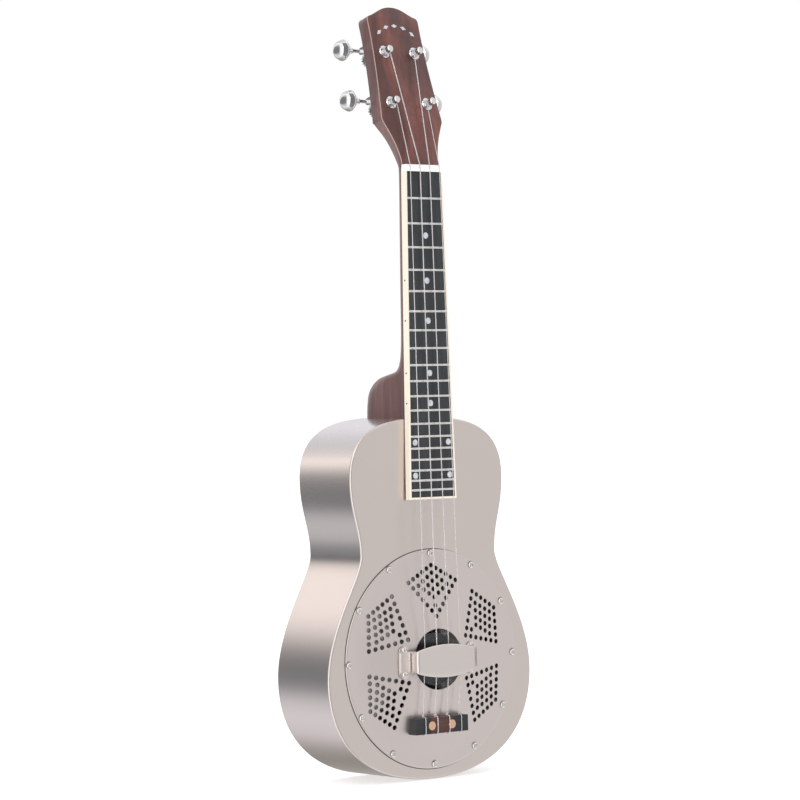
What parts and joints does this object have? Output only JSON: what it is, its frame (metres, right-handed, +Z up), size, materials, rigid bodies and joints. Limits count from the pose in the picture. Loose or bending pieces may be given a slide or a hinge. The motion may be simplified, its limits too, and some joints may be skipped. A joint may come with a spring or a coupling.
{
  "type": "resonator ukulele",
  "caption": "Metal-body resonator ukulele with a perforated cover plate over a biscuit cone, a wooden neck with fretted fingerboard, and worm-geared tuners that turn their string posts.",
  "frame": {"origin": "middle of the nut's front edge on the plane where the fingerboard is glued to the neck, which is also where a hanger's yoke takes the neck below the headstock's flare", "axes": "+Z up the neck, playing side towards -Y, +X to the right of someone facing the front"},
  "size_m": [0.2086, 0.0864, 0.6199],
  "materials": {
    "nickel_body": "satin brushed nickel plating on sheet brass",
    "spun_aluminium": "spun, bright",
    "chrome_hardware": "polished chrome",
    "steel_hardware": "zinc plated steel",
    "fret_metal": "polished nickel silver",
    "mahogany": "satin varnish",
    "rosewood": "satin varnish",
    "dark_wood": "oiled, nearly black",
    "maple": "unfinished",
    "cream_binding": "polished cream plastic",
    "pearl": "pale pearl",
    "bone": "polished bone",
    "copper_plug": "copper coloured, polished",
    "nylon": "clear nylon"
  },
  "bodies": {
    "instrument": {"body_front": "nickel_body", "body_sides": "nickel_body", "body_back": "nickel_body", "soundwell": "spun_aluminium", "heel_block": "mahogany", "neck_bolts": "steel_hardware", "neck_stick": "maple", "stick_supports": "maple", "resonator_cone": "spun_aluminium", "biscuit": "dark_wood", "biscuit_screw": "steel_hardware", "saddle": "maple", "cover_plate": "nickel_body", "cover_screws": "chrome_hardware", "palm_rest": "nickel_body", "palm_rest_screws": "chrome_hardware", "tie_block": "rosewood", "tie_block_screws": "steel_hardware", "tie_block_plugs": "copper_plug", "neck": "mahogany", "fingerboard": "dark_wood", "fingerboard_binding": "cream_binding", "frets": "fret_metal", "position_dots": "pearl", "side_dots": "dark_wood", "nut": "bone", "headstock_veneer": "rosewood", "headstock_inlay": "pearl", "post_ferrules": "chrome_hardware", "tuner_plates": "chrome_hardware", "tuner_screws": "chrome_hardware", "string_g": "nylon", "string_c": "nylon", "string_e": "nylon", "string_a": "nylon"},
    "tuner_knob_g": {"worm_shaft_g": "chrome_hardware", "knob_g": "chrome_hardware"},
    "string_post_g": {"post_g": "chrome_hardware", "gear_g": "steel_hardware", "gear_screw_g": "steel_hardware", "winding_g": "nylon"},
    "tuner_knob_c": {"worm_shaft_c": "chrome_hardware", "knob_c": "chrome_hardware"},
    "string_post_c": {"post_c": "chrome_hardware", "gear_c": "steel_hardware", "gear_screw_c": "steel_hardware", "winding_c": "nylon"},
    "tuner_knob_e": {"worm_shaft_e": "chrome_hardware", "knob_e": "chrome_hardware"},
    "string_post_e": {"post_e": "chrome_hardware", "gear_e": "steel_hardware", "gear_screw_e": "steel_hardware", "winding_e": "nylon"},
    "tuner_knob_a": {"worm_shaft_a": "chrome_hardware", "knob_a": "chrome_hardware"},
    "string_post_a": {"post_a": "chrome_hardware", "gear_a": "steel_hardware", "gear_screw_a": "steel_hardware", "winding_a": "nylon"}
  },
  "joints": [
    {"name": "knob_g_turn", "type": "hinge", "parent": "instrument", "child": "tuner_knob_g", "pos_m": [-0.0184, 0.03424, 0.05832], "axis": [1, 0, 0], "continuous": true},
    {"name": "post_g_turn", "type": "hinge", "parent": "instrument", "child": "string_post_g", "pos_m": [-0.0184, 0.03212, 0.0504], "axis": [0, 0.9659, -0.2588], "continuous": true},
    {"name": "knob_c_turn", "type": "hinge", "parent": "instrument", "child": "tuner_knob_c", "pos_m": [-0.0154, 0.0454, 0.09996], "axis": [1, 0, 0], "continuous": true},
    {"name": "post_c_turn", "type": "hinge", "parent": "instrument", "child": "string_post_c", "pos_m": [-0.0154, 0.04328, 0.09204], "axis": [0, 0.9659, -0.2588], "continuous": true},
    {"name": "knob_e_turn", "type": "hinge", "parent": "instrument", "child": "tuner_knob_e", "pos_m": [0.0154, 0.0454, 0.09996], "axis": [1, 0, 0], "continuous": true},
    {"name": "post_e_turn", "type": "hinge", "parent": "instrument", "child": "string_post_e", "pos_m": [0.0154, 0.04328, 0.09204], "axis": [0, 0.9659, -0.2588], "continuous": true},
    {"name": "knob_a_turn", "type": "hinge", "parent": "instrument", "child": "tuner_knob_a", "pos_m": [0.0184, 0.03424, 0.05832], "axis": [1, 0, 0], "continuous": true},
    {"name": "post_a_turn", "type": "hinge", "parent": "instrument", "child": "string_post_a", "pos_m": [0.0184, 0.03212, 0.0504], "axis": [0, 0.9659, -0.2588], "continuous": true}
  ],
  "couplings": [
    {"joint": "post_g_turn", "follows": "knob_g_turn", "ratio": -0.0625},
    {"joint": "post_c_turn", "follows": "knob_c_turn", "ratio": -0.0625},
    {"joint": "post_e_turn", "follows": "knob_e_turn", "ratio": -0.0625},
    {"joint": "post_a_turn", "follows": "knob_a_turn", "ratio": -0.0625}
  ]
}
